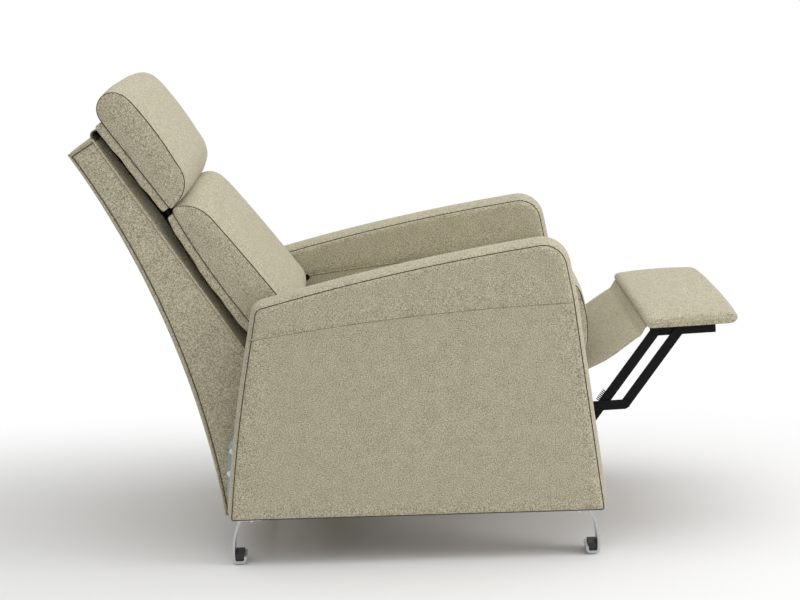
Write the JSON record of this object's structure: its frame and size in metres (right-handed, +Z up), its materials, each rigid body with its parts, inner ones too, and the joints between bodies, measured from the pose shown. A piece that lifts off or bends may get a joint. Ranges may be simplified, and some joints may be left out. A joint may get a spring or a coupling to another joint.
{
  "type": "push-back recliner armchair",
  "caption": "Fabric push-back recliner, reclined, with padded arm panels on bowed metal legs, a separate headrest and a footrest out on a black steel linkage",
  "frame": {"origin": "centre of the part's box on the floor", "axes": "+X the way the sitter faces, +Y the sitter's left, +Z up"},
  "size_m": [1.3054, 0.73, 0.9401],
  "materials": {
    "arm_fabric": "woven, matte",
    "cushion_fabric": "woven, matte",
    "timber": "sanded plywood",
    "leg_steel": "satin",
    "glide_plastic": "matte",
    "webbing": "woven elastic",
    "zinc_plate": "zinc plated",
    "bright_steel": "zinc plated",
    "black_steel": "satin black"
  },
  "bodies": {
    "base": {"arm_cover_right": "arm_fabric", "arm_cover_left": "arm_fabric", "arm_core_right": "timber", "arm_core_left": "timber", "rear_legs": "leg_steel", "front_legs": "leg_steel", "floor_glides": "glide_plastic", "frame_bolts": "bright_steel", "base_plate_right": "black_steel", "base_plate_left": "black_steel", "back_guides": "black_steel", "front_rail": "timber", "rear_rail": "timber"},
    "front_swing": {"front_swing_links": "black_steel", "front_cross_tube": "black_steel"},
    "rear_swing": {"rear_swing_links": "black_steel"},
    "seat": {"seat_plate_right": "black_steel", "seat_plate_left": "black_steel", "seat_side_rail_right": "timber", "seat_side_rail_left": "timber", "seat_front_rail": "timber", "seat_rear_rail": "timber", "seat_webbing": "webbing", "seat_cushion": "cushion_fabric", "calf_flap": "cushion_fabric", "seat_nuts": "black_steel"},
    "lower_link": {"lower_links": "black_steel", "lower_link_nuts": "black_steel"},
    "drive_link": {"drive_links": "black_steel", "drive_link_nuts": "black_steel"},
    "long_link": {"long_links": "black_steel", "long_link_nuts": "black_steel"},
    "front_link": {"front_links": "black_steel", "front_link_nuts": "black_steel"},
    "footrest": {"footrest_brackets": "black_steel", "footrest_board": "timber", "footrest_pad": "cushion_fabric"},
    "backrest": {"back_bracket_right": "zinc_plate", "back_bracket_left": "zinc_plate", "bracket_bolts": "bright_steel", "back_shell": "cushion_fabric", "back_board": "timber", "back_posts": "timber", "back_cushion": "cushion_fabric", "headrest_hinge_fixed": "black_steel"},
    "headrest": {"head_board": "timber", "head_cushion": "cushion_fabric", "headrest_hinge_moving": "black_steel", "headrest_gusset": "cushion_fabric"}
  },
  "joints": [
    {"name": "recline", "type": "hinge", "parent": "base", "child": "front_swing", "pos_m": [0.136, 0, 0.15], "axis": [0, 1, 0], "range_deg": [-32, 0]},
    {"name": "seat_hinge", "type": "hinge", "parent": "front_swing", "child": "seat", "pos_m": [0.17183, 0, 0.27496], "axis": [0, 1, 0], "range_deg": [0, 32]},
    {"name": "rear_swing_hinge", "type": "hinge", "parent": "base", "child": "rear_swing", "pos_m": [-0.114, 0, 0.15], "axis": [0, 1, 0], "range_deg": [-32, 0]},
    {"name": "back_hinge", "type": "hinge", "parent": "seat", "child": "backrest", "pos_m": [-0.20817, 0, 0.29566], "axis": [0, 1, 0], "range_deg": [0, 22]},
    {"name": "headrest_tilt", "type": "hinge", "parent": "backrest", "child": "headrest", "pos_m": [-0.45354, 0, 0.6907], "axis": [0, 1, 0], "range_deg": [0, 20], "deforming": ["headrest_gusset"]},
    {"name": "footrest_fold", "type": "hinge", "parent": "seat", "child": "lower_link", "pos_m": [0.265, 0, 0.2759], "axis": [0, 1, 0], "range_deg": [0, 85.5], "deforming": ["calf_flap"]},
    {"name": "drive_link_hinge", "type": "hinge", "parent": "seat", "child": "drive_link", "pos_m": [0.23704, 0, 0.23071], "axis": [0, 1, 0], "range_deg": [0, 86.46]},
    {"name": "long_link_hinge", "type": "hinge", "parent": "lower_link", "child": "long_link", "pos_m": [0.38643, 0, 0.28014], "axis": [0, 1, 0], "range_deg": [-92.05, 0]},
    {"name": "front_link_hinge", "type": "hinge", "parent": "lower_link", "child": "front_link", "pos_m": [0.4339, 0, 0.2818], "axis": [0, 1, 0], "range_deg": [-92.05, 0]},
    {"name": "footrest_hinge", "type": "hinge", "parent": "long_link", "child": "footrest", "pos_m": [0.49409, 0, 0.42564], "axis": [0, 1, 0], "range_deg": [0, 92.05]}
  ],
  "couplings": [
    {"joint": "seat_hinge", "follows": "recline", "ratio": -1},
    {"joint": "rear_swing_hinge", "follows": "recline", "ratio": 1},
    {"joint": "back_hinge", "follows": "recline", "ratio": -0.6875},
    {"joint": "drive_link_hinge", "follows": "footrest_fold", "ratio": 1.0106},
    {"joint": "long_link_hinge", "follows": "footrest_fold", "ratio": -1.076},
    {"joint": "front_link_hinge", "follows": "footrest_fold", "ratio": -1.076},
    {"joint": "footrest_hinge", "follows": "footrest_fold", "ratio": 1.076}
  ]
}
